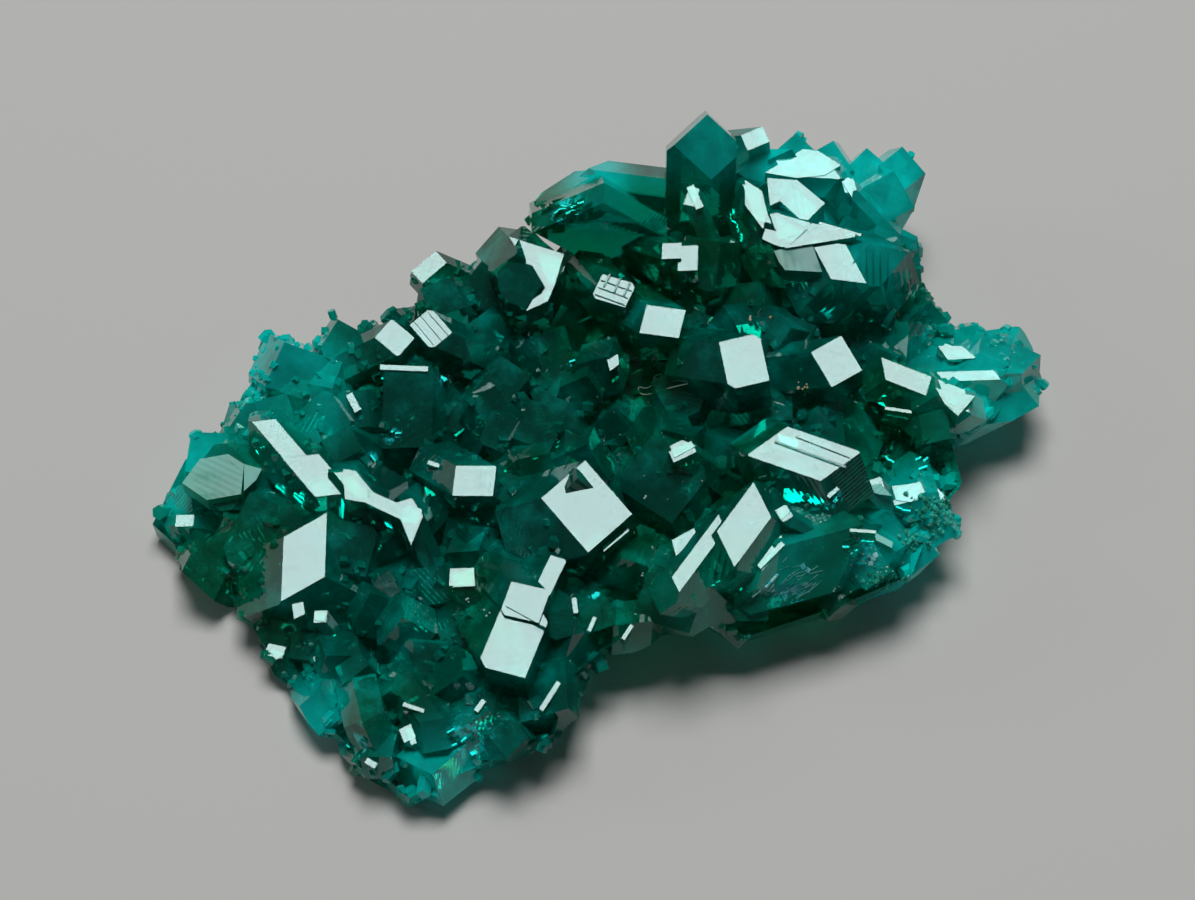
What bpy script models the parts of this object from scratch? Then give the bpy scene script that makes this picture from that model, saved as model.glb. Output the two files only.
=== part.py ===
"""Dioptase cluster: emerald-green crystals grown together, lying loose as a hand specimen.

The cluster is one solid. Every crystal is a six-sided prism with three end faces, cut from a block by the
planes of its faces, and all of them are joined with the broken crystal mass that carries them. The
underside is flat where the cluster rests, and broken away under its edge.

X runs to the right, Y away from the eye, Z up, and the resting face is at Z = 0. The places of the
crystals are given as the eye sees them from the front: millimetres across and up on the plane through
SIGHT_POINT that is square to the line of sight, and the height above the resting face.
"""

import math
import random

import bmesh
import bpy
from mathutils import Matrix, Vector

# Sizes that drive the rest
MM = 0.001
EYE_RISE = math.radians(55)
EYE_DISTANCE = 165 * MM
SIGHT_POINT = Vector((0, 0, 6 * MM))

# Angles of the mineral
END_FACE_TILT = math.radians(50.96)
END_EDGE_TURN = math.radians(47.5)
END_FACE_AZIMUTHS = (0, 120, 240)
SIDE_FACE_AZIMUTHS = (30, 90, 150, 210, 270, 330)

# Faces that catch the sky all lean this far from level, towards the eye
SKY_FACE_LEAN = math.radians(10)

# Other faces of the small crystals stay at least this far from that lean, so that they don't shine
SKY_CLEARANCE = math.radians(17)

# Length of a crystal below its face or its tip, and the least width of one
ROOT_LENGTH = 5.2 * MM
DEEP_ROOT = 7.5 * MM
ROOT_PER_GIRTH = 1.3
LEAST_GIRTH = 2.6 * MM
BLOCK_REACH = 20 * MM
CUT_TOLERANCE = 1e-8

# Spread of the crystals' shapes: thickness to width, where a corner of the end face is cut off,
# how far one end face lies back at the tip, and how far the side faces lie out
THICKNESS_SPREAD = (0.9, 1.15)
BLUNT_CORNERS = (0.86, 0.93, 0.97, 1.03)
TIP_SETBACK = (0.03, 0.12)
SIDE_SPREAD = (0.86, 1.1)
SEED = 47

# Colour of the crystals
CRYSTAL_COLOUR = (0.0, 0.13, 0.11, 1.0)
CRYSTAL_ROUGHNESS = 0.12

# Faces that catch the sky: name, kind, across, up, height, turn, half length, half width.
# Kind E is an end face, whose turn is the direction in which it slopes down to its prism edge.
# Kinds L and R are side faces, cut off to the left or to the right, and turn is the long axis.
SKY_FACES = (
    ("tip chip", "E", -22.8, -3.9, 2.9, -45, 0.5, 0.35),
    ("left blade", "R", -17.3, 0.3, 6.4, -51, 1.9, 0.55),
    ("left blade step", "R", -15.5, -1.4, 6.1, -51, 1.5, 0.85),
    ("left blade end", "R", -13.3, -2.0, 6.5, -52, 1.1, 0.5),
    ("left slab", "R", -16.2, -5.9, 5.4, 32, 1.35, 1.6),
    ("left crumb", "E", -16.5, -8.9, 3.4, -23, 0.35, 0.4),
    ("left grey crumb", "E", -15.3, -9.2, 3.6, -45, 0.35, 0.35),
    ("edge crumb", "E", -17.8, -11.1, 1.9, -60, 0.5, 0.35),
    ("low wedge", "E", -10.4, -15.6, 3.2, -20, 0.45, 0.4),
    ("low edge crumb", "E", -12.6, -17.3, 1.4, -45, 0.35, 0.35),
    ("kite", "E", -10.3, -3.6, 6.9, -60, 0.5, 0.5),
    ("back left rhomb", "E", -11.2, 6.2, 7.4, 185, 0.75, 0.9),
    ("back left ridged", "E", -9.2, 6.7, 7.8, -4, 0.8, 1.0),
    ("back left grey", "E", -9.3, 10.1, 7.4, -3, 0.95, 0.5),
    ("left middle square", "E", -6.8, -1.7, 7.4, 132, 1.1, 0.9),
    ("left middle crumb", "E", -7.5, -7.0, 6.4, -45, 0.65, 0.5),
    ("boomerang", "E", -3.6, 9.7, 9.0, 114, 1.5, 1.4),
    ("comb", "E", 0.9, 8.8, 9.4, 114, 1.0, 0.8),
    ("step square", "E", 4.1, 11.0, 9.9, 135, 0.55, 0.5),
    ("step square low", "E", 5.0, 10.6, 9.6, 135, 0.55, 0.8),
    ("tower chip", "E", 5.2, 14.0, 11.2, -60, 0.3, 0.6),
    ("hexagon", "E", 3.6, 7.1, 9.2, 124, 1.1, 0.9),
    ("upright sliver", "R", 8.8, 13.6, 10.6, -74, 1.2, 0.4),
    ("crest chip", "E", 8.7, 17.2, 9.6, 158, 0.7, 0.55),
    ("crest slab", "L", 11.5, 15.7, 8.4, -4, 1.6, 0.75),
    ("crest square", "E", 11.2, 13.8, 9.1, 180, 0.8, 1.1),
    ("ridge square", "E", 10.5, 12.2, 9.7, 114, 1.05, 0.8),
    ("ridge strip", "E", 13.3, 12.0, 9.2, -66, 1.25, 0.35),
    ("long crystal", "L", 13.3, 10.4, 9.5, -8, 1.0, 1.15),
    ("near square", "E", 8.1, 4.9, 9.9, 147, 1.15, 1.48),
    ("centre rhomb", "E", -0.6, -3.1, 8.4, 176, 1.62, 2.02),
    ("thin wedge", "E", 4.7, -0.1, 8.0, -20, 0.7, 0.35),
    ("broad slab", "R", 11.4, -0.2, 9.8, -21, 2.1, 1.2),
    ("right square", "E", 13.2, 4.9, 8.9, 164, 1.0, 1.2),
    ("right strip", "L", 18.1, 3.6, 7.0, -24, 2.5, 0.6),
    ("tip strip", "L", 20.5, 4.1, 5.7, 2, 1.6, 0.3),
    ("tip sliver", "E", 19.8, 5.4, 5.5, -70, 0.8, 0.3),
    ("front blade", "R", 8.1, -4.1, 9.0, 55, 1.75, 0.95),
    ("front blade low", "R", 5.6, -5.7, 8.4, 55, 2.2, 0.4),
    ("front blade strip", "R", 9.6, -5.7, 7.6, 50, 1.0, 0.25),
    ("front chip", "E", 10.3, -3.5, 8.8, -15, 0.35, 0.4),
    ("front right facet", "E", 17.1, -2.4, 5.9, -32, 0.85, 0.5),
    ("front right grey", "E", 15.2, -2.0, 6.5, -30, 0.6, 0.4),
    ("stack top", "E", -4.0, -8.4, 7.3, 119, 1.07, 0.97),
    ("stack low", "E", -4.6, -10.5, 6.7, 117, 1.3, 1.9),
    ("stack back", "E", -2.6, -6.9, 7.0, 114, 0.45, 1.1),
    ("far right chip", "E", 13.9, 14.6, 7.9, -30, 0.35, 0.4),
)

# Large faces that stay dark: name, kind, across, up, height, turn, half length, half width, and the lean
# of the face's normal from the vertical and the azimuth it leans towards, in degrees.
DARK_FACES = (
    ("tip hexagon", "E", -20.7, -1.5, 4.8, 8, 1.5, 1.5, 22, -90),
    ("long crystal left", "L", 11.0, 10.7, 9.3, -4, 1.7, 0.7, 27, -88),
    ("long crystal right", "R", 15.3, 10.2, 9.2, -8, 1.2, 1.15, 30, -62),
    ("back rim", "L", 2.2, 14.7, 9.6, -7, 2.3, 0.5, 30, -90),
    ("back rim left", "R", -1.2, 14.0, 9.2, 33, 1.4, 0.5, 30, -90),
    ("back block", "E", 0.1, 11.9, 9.0, -94, 2.55, 2.55, 98, -90),
    ("right horn", "L", 20.9, 3.0, 4.6, 8, 2.9, 1.7, 36, -75),
    ("right horn top", "L", 21.0, 3.7, 4.5, 8, 2.5, 0.8, 28, -60),
    ("dark square", "E", -10.5, 2.3, 6.1, -45, 1.4, 2.2, 38, -92),
    ("left dark", "E", -18.4, -4.9, 4.5, -70, 2.0, 2.0, 38, -125),
    ("left teal flat", "E", -13.6, -5.4, 5.0, -58, 1.2, 1.4, 34, -60),
    ("valley wall", "E", 3.6, -1.6, 6.6, -80, 1.9, 1.8, 42, -100),
    ("front wall", "R", 11.6, -6.6, 6.4, 10, 2.4, 1.7, 55, -72),
    ("front wall low", "E", 4.0, -8.2, 5.8, -60, 1.6, 1.6, 50, -110),
)

# Crystals much thinner than they are wide, as shares of the usual thickness
THIN_SLABS = {"back block": 0.62, "left blade step": 0.9}

# Crystals seen by their ends: name, across, up and height of the tip, girth, lean and the direction
# leaned towards, and the direction of the first end face. Directions are degrees from X.
TIPS = (
    ("tower", 5.9, 18.7, 14.3, 4.2, 12, 90, -90),
    ("round teal", -17.2, 6.2, 6.8, 4.6, 6, 120, -60),
    ("round green", -0.6, 4.0, 7.6, 2.6, 20, -60, -100),
    ("back left point", -14.3, 7.2, 6.6, 3.0, 15, 100, -70),
    ("boomerang cover", -4.4, 10.9, 10.3, 3.4, 22, -100, -95),
    ("rhomb cover", -1.1, -1.5, 9.3, 1.6, 12, -70, -80),
    ("strip cover", 18.6, 3.1, 7.5, 2.2, 25, -90, -90),
    ("left end", -21.4, -0.4, 4.3, 2.6, 22, 200, -120),
    ("back left ridge", -6.4, 10.4, 8.0, 3.4, 12, 110, -80),
    ("back left ridge low", -7.9, 9.6, 7.9, 3.2, 18, 60, -120),
    ("valley filler", 0.7, 5.2, 8.0, 3.4, 20, -50, -110),
    ("rhomb foot", 1.5, -5.8, 6.8, 3.6, 24, -110, -75),
    ("front ledge", 11.9, -8.3, 4.2, 3.6, 52, -80, -90),
    ("front ledge right", 14.8, -7.4, 4.4, 3.2, 48, -60, -70),
    ("left shoulder", -20.6, -3.6, 4.2, 2.6, 25, -150, -80),
    ("lower dome", -10.9, -9.2, 5.3, 3.4, 15, -110, -80),
    ("lower left dome", -15.0, -11.2, 3.8, 3.0, 25, -130, -60),
    ("lower middle", -7.6, -12.4, 5.0, 3.2, 22, -80, -90),
    ("low point", -11.6, -13.2, 3.9, 3.0, 30, -120, -100),
    ("tip horn", 24.5, 5.5, 5.0, 4.2, 62, 22, -60),
    ("tip flank", 22.0, 2.2, 4.6, 4.2, 55, -30, -90),
    ("far right horn", 16.4, 15.4, 7.6, 3.6, 25, 30, -90),
    ("far right low", 17.2, 11.4, 6.8, 3.4, 35, 10, -100),
    ("far right back", 14.9, 16.7, 7.4, 3.2, 30, 80, -80),
    ("far right point", 16.9, 16.8, 7.2, 3.4, 30, 60, -80),
    ("crest back left", 8.9, 16.9, 9.0, 3.0, 10, 90, -80),
    ("crest back", 10.9, 17.6, 8.6, 3.4, 18, 95, -95),
    ("crest back right", 13.0, 17.1, 8.0, 3.2, 20, 80, -110),
    ("right corner", 19.4, -2.5, 4.8, 3.0, 45, -10, -60),
    ("left fin", -22.4, 1.2, 3.6, 3.4, 40, 150, -60),
    ("front toe", -1.6, -14.4, 4.6, 4.6, 45, -60, -90),
    ("front foot", -9.2, -18.0, 3.2, 4.0, 38, -100, -20),
    ("front drip", 8.4, -9.6, 3.4, 1.8, 70, -90, -90),
    ("dark valley", 3.4, 1.2, 7.6, 3.4, 22, -100, -70),
    ("dark ridge", 6.7, 11.4, 10.2, 3.6, 15, -40, -150),
)

# Outline of the whole cluster from above, and the height to which its underside is broken away there,
# and how far in from the outline the cluster rests. All in millimetres, anticlockwise from the left tip.
OUTLINE = (
    (-25.5, -1.6, 0.6, 1.0),
    (-20.0, -7.2, 0.5, 0.8),
    (-16.7, -12.3, 0.5, 0.8),
    (-14.2, -15.4, 0.5, 0.8),
    (-9.7, -20.2, 0.9, 1.6),
    (-6.2, -18.4, 1.5, 2.4),
    (-1.9, -17.2, 2.6, 3.6),
    (-1.2, -14.2, 3.2, 4.0),
    (0.8, -12.2, 3.4, 4.2),
    (5.5, -9.3, 3.6, 4.4),
    (8.3, -11.2, 2.7, 4.6),
    (12.8, -9.7, 3.0, 4.6),
    (17.4, -7.9, 3.2, 4.4),
    (18.4, -4.6, 3.4, 4.4),
    (20.5, -1.5, 3.4, 4.2),
    (20.3, 1.4, 3.4, 4.1),
    (22.9, 3.5, 3.2, 4.2),
    (25.3, 6.8, 3.2, 4.2),
    (24.5, 8.9, 3.0, 4.0),
    (21.2, 10.2, 2.8, 3.4),
    (18.4, 12.2, 2.6, 3.0),
    (17.5, 17.0, 2.8, 3.2),
    (18.0, 21.0, 2.8, 3.4),
    (14.9, 21.8, 2.4, 3.0),
    (10.6, 21.4, 2.2, 2.6),
    (4.1, 18.7, 2.0, 2.6),
    (-0.3, 17.5, 2.0, 2.6),
    (-3.8, 16.4, 2.0, 2.4),
    (-5.6, 13.6, 1.8, 2.2),
    (-11.0, 12.4, 1.6, 2.2),
    (-15.0, 10.5, 1.4, 2.0),
    (-19.6, 8.4, 1.2, 1.8),
    (-20.8, 5.3, 1.2, 1.8),
    (-23.8, 3.0, 1.0, 1.6),
)
SPINE = (Vector((-14 * MM, -6 * MM, 0)), Vector((13 * MM, 8 * MM, 0)))

# Small crystals that fill the ground between the named ones, in rows, each moved at random from its
# place in the row. Their leans and azimuths are in degrees.
FILL_ROWS = range(-9, 10)
FILL_COLUMNS = range(-11, 12)
FILL_SPACING = 2.5 * MM
FILL_ROW_PITCH = FILL_SPACING * 0.87
FILL_STRAY = 0.3 * FILL_SPACING
FILL_SHARE = 0.93
FILL_RISE = (-0.9 * MM, 0.3 * MM)
FILL_GIRTH = (2.4 * MM, 4.2 * MM)
FILL_LEAN = (5, 45)
FILL_TURN = 90
FILL_BURIED = 0.1
FILL_CROWDED = 0.5
CROWDED_DROP = 0.7 * MM
AXIS_TRIES = 40

# Share of a named crystal's size within which no small crystal starts
FACE_REACH = 0.67
TIP_REACH = 0.4

# Crystals that stick out of the broken edge
RIM_SPACING = 2.2 * MM
RIM_STEP = (0.1, 0.9)
RIM_GIRTH = (2.0 * MM, 3.4 * MM)
RIM_LEAN = (40, 80)
RIM_TURN = 35
RIM_INSET = (0.6 * MM, 1.8 * MM)
RIM_RISE = (1.0 * MM, 2.4 * MM)

# The mass below the crystals: how far its top lies under their tips, and its thickness at the edge
MASS_DROP = 4.2 * MM
MASS_BASE = -3.0 * MM
MASS_WALL = (0.96, 0.6)
MASS_RIM = 0.95
MASS_RIM_RISE = 0.8 * MM
MASS_RIM_ROUGHNESS = 0.2 * MM
MASS_JITTER = 0.3 * MM
MASS_RING_SHARES = (0.84, 0.7, 0.55, 0.4, 0.25)
MASS_ROUGHNESS = 1.4 * MM
EDGE_THICKNESS = 2.2

# The break underneath: how deep and how high the missing space reaches outside the cluster, how far out
# it starts and how far above the rim, the part of the way in at which it is still a part of the rim's
# height, and how rough it is at the rim and nearer the middle
BREAK_FLOOR = -12 * MM
BREAK_RISE = 6 * MM
BREAK_OUTER_INSET = -5.0
BREAK_OUTER_RIM = 1.6
BREAK_START = 1.04
BREAK_RIM = 0.2 * MM
BREAK_HALFWAY = (0.5, 0.35)
BREAK_ROUGHNESS = (0.25 * MM, 0.15 * MM)

# Distance within which the nearest named crystals all count alike for the height of the ground
HEIGHT_BLEND = 0.8 * MM


def direction(azimuth, rise=0.0):
    """Unit vector at this azimuth from X and this rise from the level, both in degrees."""
    turn, lift = math.radians(azimuth), math.radians(rise)
    flat = math.cos(lift)
    return Vector((flat * math.cos(turn), flat * math.sin(turn), math.sin(lift)))


def azimuth_of(level):
    return math.degrees(math.atan2(level.y, level.x))


def seen(across, up, height):
    """Point at this height that the eye sees at these millimetres across and up."""
    sight = Vector((0, math.cos(EYE_RISE), -math.sin(EYE_RISE)))
    upward = Vector((0, math.sin(EYE_RISE), math.cos(EYE_RISE)))
    eye = SIGHT_POINT - sight * EYE_DISTANCE
    ray = SIGHT_POINT + Vector((across * MM, 0, 0)) + upward * (up * MM) - eye
    return eye + ray * ((height * MM - eye.z) / ray.z)


def end_normal(azimuth, top=True):
    """Normal of the end face at this azimuth, for a crystal whose long axis is Z."""
    normal = direction(azimuth) * math.sin(END_FACE_TILT)
    normal.z = math.cos(END_FACE_TILT)
    return normal if top else -normal


SKY_NORMAL = Vector((0, -math.sin(SKY_FACE_LEAN), math.cos(SKY_FACE_LEAN)))


def frame_of(normal, reference):
    """Matrix whose columns are the normal, the reference direction and the one square to both."""
    return Matrix((normal, reference, normal.cross(reference))).transposed()


def turned_to(local_normal, local_reference, normal, turn):
    """Rotation that lays a crystal's face on a plane, its reference direction at the turn given."""
    level = (Vector((1, 0, 0)) - normal * normal.x).normalized()
    slope = normal.cross(level)
    reference = level * math.cos(turn) + slope * math.sin(turn)
    return frame_of(normal, reference) @ frame_of(local_normal, local_reference).transposed()


def convex_solid(name, planes, place):
    """Object left of a block after a cut along each (point, normal), then set at its place."""
    shape = bmesh.new()
    bmesh.ops.create_cube(shape, size=2 * BLOCK_REACH)
    for point, normal in planes:
        everything = shape.verts[:] + shape.edges[:] + shape.faces[:]
        cut = bmesh.ops.bisect_plane(
            shape, geom=everything, dist=CUT_TOLERANCE, plane_co=point, plane_no=normal, clear_outer=True
        )
        rim = [part for part in cut["geom_cut"] if isinstance(part, bmesh.types.BMEdge)]
        if rim:
            bmesh.ops.contextual_create(shape, geom=rim)
    bmesh.ops.transform(shape, matrix=place, verts=shape.verts[:])
    bmesh.ops.recalc_face_normals(shape, faces=shape.faces[:])
    return finished_object(name, shape)


def finished_object(name, shape):
    mesh = bpy.data.meshes.new(name)
    shape.to_mesh(mesh)
    shape.free()
    solid = bpy.data.objects.new(name, mesh)
    bpy.context.scene.collection.objects.link(solid)
    return solid


def end_face_planes(half_length, half_width, blunt, thickness):
    """Planes of a crystal about the centre of its first end face, and that face's two directions."""
    normal = end_normal(0)
    down = Vector((math.cos(END_FACE_TILT), 0, -math.sin(END_FACE_TILT)))
    across = normal.cross(down)
    first = down * math.cos(END_EDGE_TURN) + across * math.sin(END_EDGE_TURN)
    second = down * math.cos(END_EDGE_TURN) - across * math.sin(END_EDGE_TURN)
    corner = (half_length + half_width) * math.sin(END_EDGE_TURN)
    girth = max(2 * corner, LEAST_GIRTH) * thickness
    near_left = first * half_length
    near_right = second * half_width
    planes = [
        (Vector(), normal),
        (near_left, direction(30)),
        (near_right, direction(-30)),
        (-near_right, end_normal(120)),
        (-near_left, end_normal(240)),
        (across * corner * blunt, direction(90)),
        (-across * corner * blunt, direction(270)),
        (near_right - direction(-30) * girth, direction(150)),
        (near_left - direction(30) * girth, direction(210)),
        (Vector((0, 0, -ROOT_LENGTH)), Vector((0, 0, -1))),
    ]
    return planes, normal, down


def side_face_planes(half_length, half_width, hand, thickness):
    """Planes of a crystal about the centre of a side face, which is cut off to the side of hand."""
    normal = direction(30 * hand)
    axis = Vector((0, 0, 1))
    sideways = direction(120 * hand)
    girth = max(2 * math.sqrt(3) * half_width, LEAST_GIRTH) * thickness
    far = sideways * half_width
    planes = [
        (Vector(), normal),
        (far, direction(90 * hand)),
        (-far, direction(-30 * hand)),
        (-normal * girth, direction(210 * hand)),
        (far - direction(90 * hand) * girth, direction(270 * hand)),
        (-far - direction(-30 * hand) * girth, direction(150 * hand)),
    ]
    middle = -normal * girth / 2
    for top, end in ((True, 1), (False, -1)):
        first = 0 if top else 240 * hand
        nearest = end_normal(first, top)
        meeting = axis * half_length * end
        apex = middle + axis * ((meeting - middle).dot(nearest) / nearest.z)
        planes.append((meeting, nearest))
        planes += [(apex, end_normal(first + turn, top)) for turn in (120, 240)]
    return planes, normal, axis


def face_crystal(name, kind, across, up, height, turn, half_length, half_width, lean=None, towards=-90):
    """Crystal placed by one of its faces, which catches the sky unless a lean is given."""
    wobble = random.Random(name)
    thickness = THIN_SLABS.get(name) or wobble.uniform(*THICKNESS_SPREAD)
    blunt = wobble.choice(BLUNT_CORNERS)
    half_length *= MM
    half_width *= MM
    if kind == "E":
        planes, normal, reference = end_face_planes(half_length, half_width, blunt, thickness)
    else:
        hand = 1 if kind == "L" else -1
        planes, normal, reference = side_face_planes(half_length, half_width, hand, thickness)
    facing = SKY_NORMAL if lean is None else direction(towards, 90 - lean)
    rotation = turned_to(normal, reference, facing, math.radians(turn))
    place = Matrix.Translation(seen(across, up, height)) @ rotation.to_4x4()
    return convex_solid(name, planes, place)


def tip_crystal(name, tip, girth, lean, towards, first_end, wobble, root=ROOT_LENGTH):
    """Crystal placed by its tip, its long axis leaning from the vertical."""
    planes = [(Vector(), end_normal(azimuth)) for azimuth in END_FACE_AZIMUTHS]
    planes[wobble.randrange(3)][0].z = -girth * wobble.uniform(*TIP_SETBACK)
    for azimuth in SIDE_FACE_AZIMUTHS:
        outward = direction(azimuth)
        planes.append((outward * girth / 2 * wobble.uniform(*SIDE_SPREAD), outward))
    planes.append((Vector((0, 0, -max(root, ROOT_PER_GIRTH * girth))), Vector((0, 0, -1))))
    rotation = axis_rotation(lean, towards, first_end)
    return convex_solid(name, planes, Matrix.Translation(tip) @ rotation.to_4x4())


def axis_rotation(lean, towards, first_end):
    """Rotation that leans the long axis towards an azimuth, after its first end face is turned."""
    turned = Matrix.Rotation(math.radians(first_end - towards), 3, "Z")
    leaned = Matrix.Rotation(math.radians(lean), 3, "Y")
    return Matrix.Rotation(math.radians(towards), 3, "Z") @ leaned @ turned


def catches_sky(rotation):
    """Whether a face of a crystal turned like this would shine white."""
    faces = [end_normal(azimuth) for azimuth in END_FACE_AZIMUTHS]
    faces += [direction(azimuth) for azimuth in SIDE_FACE_AZIMUTHS]
    return max((rotation @ face).dot(SKY_NORMAL) for face in faces) > math.cos(SKY_CLEARANCE)


def spine_point(place):
    """Nearest point of the line that runs along the middle of the cluster."""
    start, end = SPINE
    along = (place - start).dot(end - start) / (end - start).length_squared
    return start + (end - start) * min(max(along, 0), 1)


def outline_ring(scale=1.0, inset=0.0, height=0.0, rim_share=0.0, jitter=0.0, wobble=None):
    """Points of the outline drawn in by a scale and a share of the rest inset, at a share of the rim."""
    ring = []
    for x, y, rim, rest_inset in OUTLINE:
        edge = Vector((x * MM, y * MM, 0))
        middle = spine_point(edge)
        reach = (edge - middle).length * scale - rest_inset * MM * inset
        point = middle + (edge - middle).normalized() * reach
        point.z = height + rim * MM * rim_share
        if jitter:
            point += Vector([wobble.uniform(-jitter, jitter) for _ in range(3)])
        ring.append(point)
    return ring


def lofted(name, rings):
    """Closed solid through the rings, each joined to the next by triangles and capped at both ends."""
    shape = bmesh.new()
    made = [[shape.verts.new(point) for point in ring] for ring in rings]
    count = len(rings[0])
    for lower, upper in zip(made, made[1:]):
        for i in range(count):
            j = (i + 1) % count
            shape.faces.new((lower[i], lower[j], upper[j]))
            shape.faces.new((lower[i], upper[j], upper[i]))
    shape.faces.new(reversed(made[0]))
    shape.faces.new(made[-1])
    shape.normal_update()
    caps = [face for face in shape.faces if len(face.verts) > 4]
    bmesh.ops.triangulate(shape, faces=caps, ngon_method="EAR_CLIP")
    bmesh.ops.recalc_face_normals(shape, faces=shape.faces[:])
    return finished_object(name, shape)


def crystal_mass(samples):
    """Broken mass of grown-together crystals that carries the rest."""
    wobble = random.Random(SEED)
    foot_scale, foot_inset = MASS_WALL
    foot = outline_ring(foot_scale, foot_inset, MASS_BASE)
    rim = outline_ring(MASS_RIM, 0.0, MASS_RIM_RISE, 1.0, MASS_RIM_ROUGHNESS, wobble)
    rings = [foot, rim]
    for scale in MASS_RING_SHARES:
        ring = outline_ring(scale=scale, jitter=MASS_JITTER * scale, wobble=wobble)
        for point in ring:
            point.z = height_at(point, samples) - MASS_DROP + wobble.uniform(-MASS_ROUGHNESS, MASS_ROUGHNESS)
        rings.append(ring)
    return lofted("crystal mass", rings)


def missing_underside():
    """Everything below the cluster: level in the middle, rising outwards under the broken edge."""
    wobble = random.Random(SEED + 1)
    at_rim, further_in = BREAK_ROUGHNESS
    halfway, halfway_rim = BREAK_HALFWAY
    rings = [
        outline_ring(1.0, BREAK_OUTER_INSET, BREAK_FLOOR),
        outline_ring(1.0, BREAK_OUTER_INSET, BREAK_RISE, BREAK_OUTER_RIM),
        outline_ring(BREAK_START, 0.0, BREAK_RIM, 1.0, at_rim, wobble),
        outline_ring(1.0, halfway, 0.0, halfway_rim, further_in, wobble),
        outline_ring(inset=1.0),
    ]
    return lofted("missing underside", rings)


def height_at(place, samples):
    """Height of the ground of crystals at a place, from the named crystals near it."""
    weights = [1 / ((place - spot).to_2d().length_squared + HEIGHT_BLEND**2) for spot in samples]
    return sum(weight * spot.z for weight, spot in zip(weights, samples)) / sum(weights)


def inside_outline(place, scale=1.0):
    """Whether a place lies within the outline drawn in by this scale."""
    ring = outline_ring(scale=scale)
    crossings = 0
    for start, end in zip(ring, ring[1:] + ring[:1]):
        if (start.y > place.y) != (end.y > place.y):
            x = start.x + (place.y - start.y) / (end.y - start.y) * (end.x - start.x)
            crossings += x > place.x
    return crossings % 2 == 1


def random_axis(wobble, lean_range, towards_range):
    """Lean, azimuth and first end face of a small crystal, drawn until none of its faces shines."""
    for _ in range(AXIS_TRIES):
        lean = wobble.uniform(*lean_range)
        towards = wobble.uniform(*towards_range)
        first_end = wobble.uniform(0, 360)
        if not catches_sky(axis_rotation(lean, towards, first_end)):
            break
    return lean, towards, first_end


def ground_crystals(named, samples):
    """Small crystals on a jittered grid between the named ones."""
    wobble = random.Random(SEED + 2)
    made = []
    for row in FILL_ROWS:
        for column in FILL_COLUMNS:
            shift = FILL_SPACING / 2 if row % 2 else 0
            place = Vector((column * FILL_SPACING + shift, row * FILL_ROW_PITCH, 0))
            place += Vector([wobble.uniform(-FILL_STRAY, FILL_STRAY) for _ in range(2)] + [0])
            girth = wobble.uniform(*FILL_GIRTH)
            outward = azimuth_of(place - spine_point(place))
            axis = random_axis(wobble, FILL_LEAN, (outward - FILL_TURN, outward + FILL_TURN))
            nearest = min((place - spot).to_2d().length - radius for spot, radius in named)
            if not inside_outline(place, FILL_SHARE) or nearest < FILL_BURIED * girth:
                continue
            place.z = height_at(place, samples) + wobble.uniform(*FILL_RISE)
            if nearest < FILL_CROWDED * girth:
                place.z -= CROWDED_DROP
            made.append(tip_crystal("ground crystal", place, girth, *axis, wobble, DEEP_ROOT))
    return made


def rim_crystals(named):
    """Crystals that stick out of the broken edge all round."""
    wobble = random.Random(SEED + 3)
    made = []
    count = len(OUTLINE)
    for i in range(count):
        x, y, rim, _ = OUTLINE[i]
        next_x, next_y, next_rim, _ = OUTLINE[(i + 1) % count]
        start = Vector((x * MM, y * MM, rim * MM))
        end = Vector((next_x * MM, next_y * MM, next_rim * MM))
        steps = max(1, round((end - start).length / RIM_SPACING))
        for step in range(steps):
            place = start.lerp(end, (step + wobble.uniform(*RIM_STEP)) / steps)
            outward = place - spine_point(place)
            towards = azimuth_of(outward)
            axis = random_axis(wobble, RIM_LEAN, (towards - RIM_TURN, towards + RIM_TURN))
            place -= direction(towards) * wobble.uniform(*RIM_INSET)
            place.z += wobble.uniform(*RIM_RISE)
            if min((place - spot).length - radius for spot, radius in named) < 0:
                continue
            made.append(tip_crystal("rim crystal", place, wobble.uniform(*RIM_GIRTH), *axis, wobble))
    return made


def crystal_material():
    material = bpy.data.materials.new("dioptase")
    material.use_nodes = True
    shader = material.node_tree.nodes["Principled BSDF"]
    shader.inputs["Base Color"].default_value = CRYSTAL_COLOUR
    shader.inputs["Metallic"].default_value = 0.0
    shader.inputs["Roughness"].default_value = CRYSTAL_ROUGHNESS
    material.diffuse_color = CRYSTAL_COLOUR
    return material


def joined(base, added, removed):
    """Base with every added solid joined on and the removed one taken away, as one mesh."""
    group = bpy.data.collections.new("crystals")
    bpy.context.scene.collection.children.link(group)
    for solid in added:
        group.objects.link(solid)
    union = base.modifiers.new("join crystals", "BOOLEAN")
    union.operation = "UNION"
    union.solver = "EXACT"
    union.operand_type = "COLLECTION"
    union.collection = group
    trim = base.modifiers.new("break underside", "BOOLEAN")
    trim.operation = "DIFFERENCE"
    trim.solver = "EXACT"
    trim.object = removed
    seen_now = bpy.context.evaluated_depsgraph_get()
    mesh = bpy.data.meshes.new_from_object(base.evaluated_get(seen_now))
    for solid in [*added, removed, base]:
        bpy.data.objects.remove(solid)
    bpy.data.collections.remove(group)
    return mesh


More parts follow.
